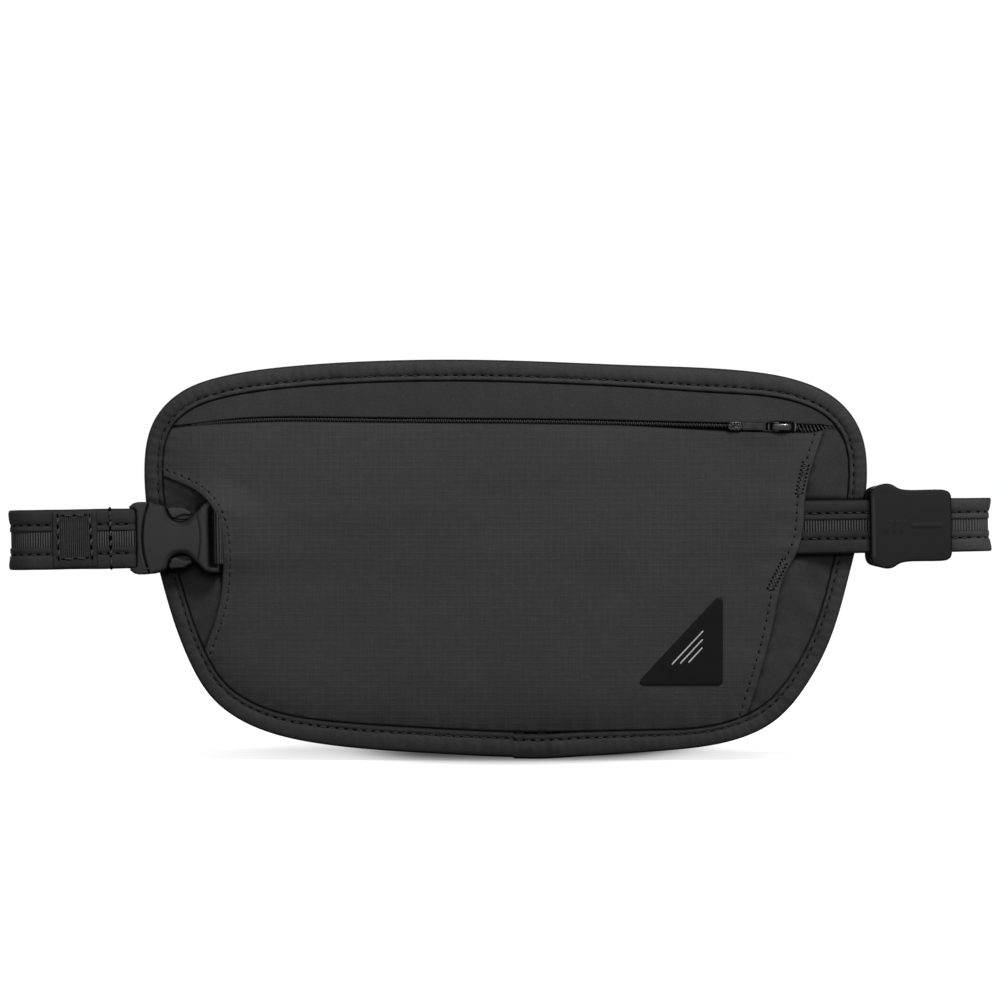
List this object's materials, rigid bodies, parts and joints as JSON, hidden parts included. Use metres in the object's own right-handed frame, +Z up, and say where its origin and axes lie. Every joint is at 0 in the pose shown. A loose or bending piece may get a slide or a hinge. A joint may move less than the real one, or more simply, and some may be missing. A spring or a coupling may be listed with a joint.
{
  "type": "money belt",
  "caption": "Flat zipped waist pouch with a taped edge, an overlaid ripstop front that covers the strap, a side-release buckle and a strap adjuster.",
  "frame": {"origin": "middle of the back panel's outer face, which rests on the wearer's waist", "axes": "+X along the strap to the adjuster's side, -Y ahead of the wearer, +Z up"},
  "size_m": [0.3803, 0.0222, 0.1555],
  "materials": {
    "pouch_fabric": "smooth woven polyester, dark charcoal",
    "ripstop_fabric": "ripstop grid weave, dark charcoal",
    "mesh_fabric": "soft spacer mesh, dark charcoal",
    "lining_fabric": "light coated lining, grey",
    "binding_tape": "folded edge tape, dark charcoal",
    "strap_fabric": "stitched sleeve fabric, dark charcoal",
    "webbing": "ribbed webbing, black",
    "stitching": "black thread",
    "badge_rubber": "satin black badge",
    "buckle_plastic": "fine-textured moulded plastic",
    "adjuster_plastic": "satin moulded plastic",
    "zipper_tape": "black zipper tape",
    "zipper_coil": "black nylon coil",
    "slider_metal": "black plated metal, glossy"
  },
  "bodies": {
    "pouch": {"back_panel": "mesh_fabric", "pocket_lining": "lining_fabric", "middle_panel": "pouch_fabric", "front_panel": "ripstop_fabric", "top_strip": "pouch_fabric", "edge_binding": "binding_tape", "corner_badge": "badge_rubber", "tunnel_bartacks": "stitching", "zipper_tape_upper": "zipper_tape", "zipper_tape_lower": "zipper_tape", "zipper_coil_upper": "zipper_coil", "zipper_coil_lower": "zipper_coil", "zipper_stop_left": "slider_metal", "zipper_stops_right": "slider_metal", "strap_main_webbing": "webbing", "strap_tunnel_sleeve": "strap_fabric", "strap_fold_sleeve": "strap_fabric", "strap_rear_sleeve": "strap_fabric", "buckle_web_loop": "webbing", "buckle_female": "buckle_plastic"},
    "slider": {"zipper_slider": "slider_metal"},
    "puller": {"puller_tab": "slider_metal", "puller_grip": "slider_metal"},
    "male_buckle": {"buckle_male": "buckle_plastic", "strap_left_webbing": "webbing", "strap_left_sleeve": "strap_fabric", "strap_end_patch": "webbing"},
    "upper_latch": {"latch_arm_upper": "buckle_plastic"},
    "lower_latch": {"latch_arm_lower": "buckle_plastic"},
    "adjuster": {"adjuster_cover": "adjuster_plastic", "adjuster_base": "adjuster_plastic", "adjuster_bar": "adjuster_plastic"}
  },
  "joints": [
    {"name": "zip_slide", "type": "slide", "parent": "pouch", "child": "slider", "axis": [-0.9999, 0, 0.0161], "range_m": [0, 0.222]},
    {"name": "puller_flip", "type": "hinge", "parent": "slider", "child": "puller", "pos_m": [0.10519, -0.0094, 0.05121], "axis": [0.0161, 0, 0.9999], "range_deg": [0, 150]},
    {"name": "buckle_release", "type": "slide", "parent": "pouch", "child": "male_buckle", "axis": [-0.9999, 0, -0.0162], "range_m": [0, 0.026], "deforming": ["latch_arm_upper", "latch_arm_lower"]},
    {"name": "upper_latch_squeeze", "type": "hinge", "parent": "male_buckle", "child": "upper_latch", "pos_m": [-0.13441, -0.0112, 0.01622], "axis": [0, 1, 0], "range_deg": [0, 8], "stiffness_Nm_per_rad": 0.4},
    {"name": "lower_latch_squeeze", "type": "hinge", "parent": "male_buckle", "child": "lower_latch", "pos_m": [-0.13415, -0.0112, 0.00022], "axis": [0, -1, 0], "range_deg": [0, 8], "stiffness_Nm_per_rad": 0.4},
    {"name": "adjuster_slide", "type": "slide", "parent": "pouch", "child": "adjuster", "axis": [0.9999, 0, 0.0162], "range_m": [0, 0.005]}
  ]
}
